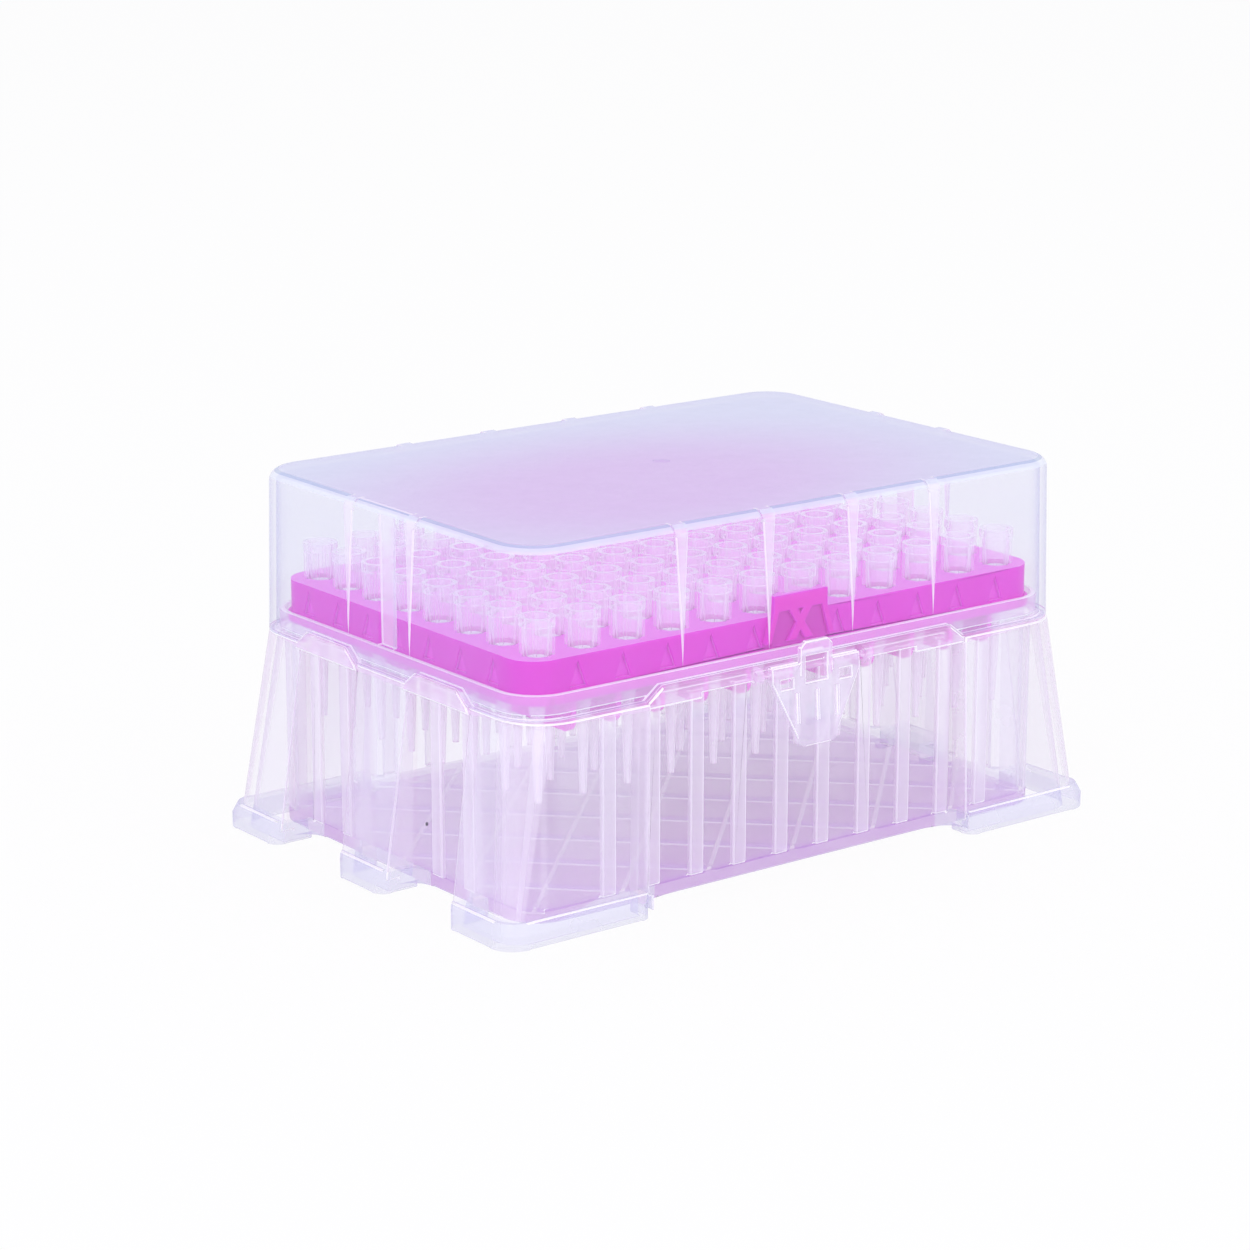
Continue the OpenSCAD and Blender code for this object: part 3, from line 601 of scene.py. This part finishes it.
def seen_directly(tree):
    """1 for rays that look at a surface or its mirror image, 0 for rays that carry light."""
    path = add_node(tree, "ShaderNodeLightPath")
    first = add_node(tree, "ShaderNodeMath", {"operation": "MAXIMUM"},
                     {0: path.outputs["Is Camera Ray"], 1: path.outputs["Is Glossy Ray"]})
    both = add_node(tree, "ShaderNodeMath", {"operation": "MAXIMUM"},
                    {0: first.outputs["Value"], 1: path.outputs["Is Transmission Ray"]})
    return both.outputs["Value"]


def pale_floor():
    """White paper under the case: bright to look at, matte to the light that falls on it."""
    deselect_all()
    bpy.ops.mesh.primitive_plane_add(size=6.0, location=(0, 0, 0))
    floor = bpy.context.active_object
    floor.name = "floor"
    material, tree, output = new_material("white_paper_floor")
    seen = seen_directly(tree)
    matte = add_node(tree, "ShaderNodeBsdfDiffuse", None, {"Color": linear("#F4F4F6")})
    glow = add_node(tree, "ShaderNodeEmission", None, {"Color": linear("#FFFFFF"), "Strength": 1.0})
    share = add_node(tree, "ShaderNodeMath", {"operation": "MULTIPLY"}, {0: seen, 1: FLOOR_GLOW})
    both = add_node(tree, "ShaderNodeMixShader", None,
                    {"Fac": share.outputs["Value"], 1: matte.outputs["BSDF"],
                     2: glow.outputs["Emission"]})
    tree.links.new(both.outputs["Shader"], output.inputs["Surface"])
    floor.data.materials.append(material)


def studio_world():
    """Soft light from all round, and plain white behind."""
    world = bpy.data.worlds.new("studio")
    bpy.context.scene.world = world
    world.use_nodes = True
    tree = world.node_tree
    tree.nodes.clear()
    output = add_node(tree, "ShaderNodeOutputWorld")
    light = add_node(tree, "ShaderNodeBackground", None,
                     {"Color": linear("#F4F2FF"), "Strength": 0.7})
    white = add_node(tree, "ShaderNodeBackground", None,
                     {"Color": linear("#FFFFFF"), "Strength": 1.0})
    both = add_node(tree, "ShaderNodeMixShader", None,
                    {"Fac": seen_directly(tree), 1: light.outputs["Background"],
                     2: white.outputs["Background"]})
    tree.links.new(both.outputs["Shader"], output.inputs["Surface"])


def soft_lamp(name, place, target, size, power, tone="#FFFFFF"):
    """A square lamp at a place, turned to its target. Size is in metres, power in watts."""
    data = bpy.data.lights.new(name, "AREA")
    data.shape = "SQUARE"
    data.size = size
    data.energy = power
    data.color = linear(tone)[:3]
    lamp = bpy.data.objects.new(name, data)
    lamp.location = Vector(place)
    lamp.rotation_euler = (Vector(target) - Vector(place)).to_track_quat("-Z", "Y").to_euler()
    bpy.context.scene.collection.objects.link(lamp)


def studio_lamps():
    """Three soft lamps round the case."""
    middle = (0, 0, 0.03)
    soft_lamp("lamp_left", (-0.9, -0.35, 0.7), middle, size=0.9, power=4.5, tone="#F2EEFF")
    soft_lamp("lamp_front", (0.3, -1.0, 0.6), middle, size=0.9, power=3.4)
    soft_lamp("lamp_top", (0.1, 0.3, 1.1), middle, size=1.2, power=1.6)


def camera():
    """The scene's camera."""
    data = bpy.data.cameras.new("camera")
    data.sensor_width = SENSOR_WIDTH
    data.lens = SENSOR_WIDTH / 2 / math.tan(math.radians(VIEW_ANGLE) / 2)
    data.clip_start = 0.01
    data.clip_end = 20.0
    made = bpy.data.objects.new("camera", data)
    made.location = Vector(CAMERA_AT)
    target = Vector(CAMERA_TARGET)
    made.rotation_euler = (target - made.location).to_track_quat("-Z", "Y").to_euler()
    bpy.context.scene.collection.objects.link(made)
    bpy.context.scene.camera = made


# ---------- the whole scene ----------

# white edges: a painted highlight on the rounded edges of the tub, rim and latch
painted_edge_highlight = clear_polypropylene("clear_polypropylene_painted_edge_highlight", "#FFFFFF", 0.95, 1.0, flow=20.0)
inside = clear_polypropylene("clear_polypropylene_inside", "#F4EEFB", 0.03, 0.12)
pink = pink_polypropylene("pink_polypropylene_satin", "#E62CD2", "#EC36DA")

build_base({
    "wall": clear_polypropylene("clear_polypropylene_base", "#F2F0FC", 0.08, 0.7),
    "edge": painted_edge_highlight,
    # the rack's pink glow is painted into the tub's floor, paler on its crossing ribs
    "floor": clear_polypropylene("clear_polypropylene_painted_pink_glow_floor", "#C070E0", 0.3, 0.52),
    "floor_rib": clear_polypropylene("clear_polypropylene_painted_pink_glow_floor_rib", "#D8B8F2", 0.2, 0.4),
    "foot_side": clear_polypropylene("clear_polypropylene_foot_side", "#F8F1FD", 0.24, 0.75),
    "foot": clear_polypropylene("clear_polypropylene_foot", "#D8D8F3", 0.3, 0.8),
    "band": clear_polypropylene("clear_polypropylene_band", "#FAE0FF", 0.35, 0.52),
    "inside": inside,
    "rib": clear_polypropylene("clear_polypropylene_tub_rib", "#F8F1FD", 0.4, 0.75),
    # white lines on the tub's rounded edges: a painted highlight
    "line": clear_polypropylene("clear_polypropylene_tub_painted_highlight_line", "#FAF4FE", 0.7, 0.9, flow=20.0),
    "long_wall": clear_polypropylene("clear_polypropylene_long_wall", "#F4F1FC", 0.08, 0.6,
                                     density=LONG_WALL_HAZE),
})
build_lid({
    "wall": clear_polypropylene("clear_polypropylene_lid", "#C2CAEE", 0.07, 0.42),
    # the lid's rounded edges: a painted white highlight
    "edge": clear_polypropylene("clear_polypropylene_lid_painted_edge_highlight", "#FDF8FF", 0.75, 0.95),
    # the lid's top: the rack's pink glow is painted into its middle
    "top": clear_polypropylene("clear_polypropylene_lid_top_painted_pink_glow", "#D4D8EE", 0.05, 0.95,
                               roughness=0.34, middle="#D4B8E6"),
    "rib": clear_polypropylene("clear_polypropylene_lid_rib", "#F8F0FC", 0.42, 0.8),
    # the lid's rounded top edge: a painted reflection, a grey-blue line above a pale band
    "painted_reflection_line": clear_polypropylene("clear_polypropylene_lid_painted_reflection_line", "#AFBFE0", 0.6, 0.75),
    "painted_reflection_band": clear_polypropylene("clear_polypropylene_lid_painted_reflection_band", "#EAF2FC", 0.5, 0.7),
})
build_latch({
    "wall": clear_polypropylene("clear_polypropylene_latch", "#F4EEFC", 0.3, 0.7, flow=4.0),
    "edge": painted_edge_highlight,
    "inside": inside,
})
build_plate({
    "skin": pink,
    "edge": pink,
    # lighter pink: painted light on the grooves' backs and thin webs, beside the subsurface glow
    "thin": pink_polypropylene("pink_polypropylene_thin_painted_light", "#F44CE0", "#F858E8"),
    # pale pink: painted highlight on the plate's top, painted light on the grooves' sides
    "top": pink_polypropylene("pink_polypropylene_painted_highlight", "#F07CE8", "#F688F0"),
    # deeper pink: painted shade in the hollows of the tab's brace
    "deep": pink_polypropylene("pink_polypropylene_painted_shade", "#D428BC", "#DA30C4"),
    # deeper pink: painted shade on the tab's front
    "tab": pink_polypropylene("pink_polypropylene_tab_painted_shade", "#EA24CA", "#F02ED2"),
})
build_speck(black_grit())
dress_tips(clear_polypropylene("clear_polypropylene_tip", "#FCF3FE", 0.15, 0.75, flow=3.0,
                               density=TIP_TAPER), filter_foam())

pale_floor()
studio_world()
studio_lamps()
camera()

scene = bpy.context.scene
scene.view_settings.view_transform = "Standard"
scene.cycles.max_bounces = 12
scene.cycles.transparent_max_bounces = 64
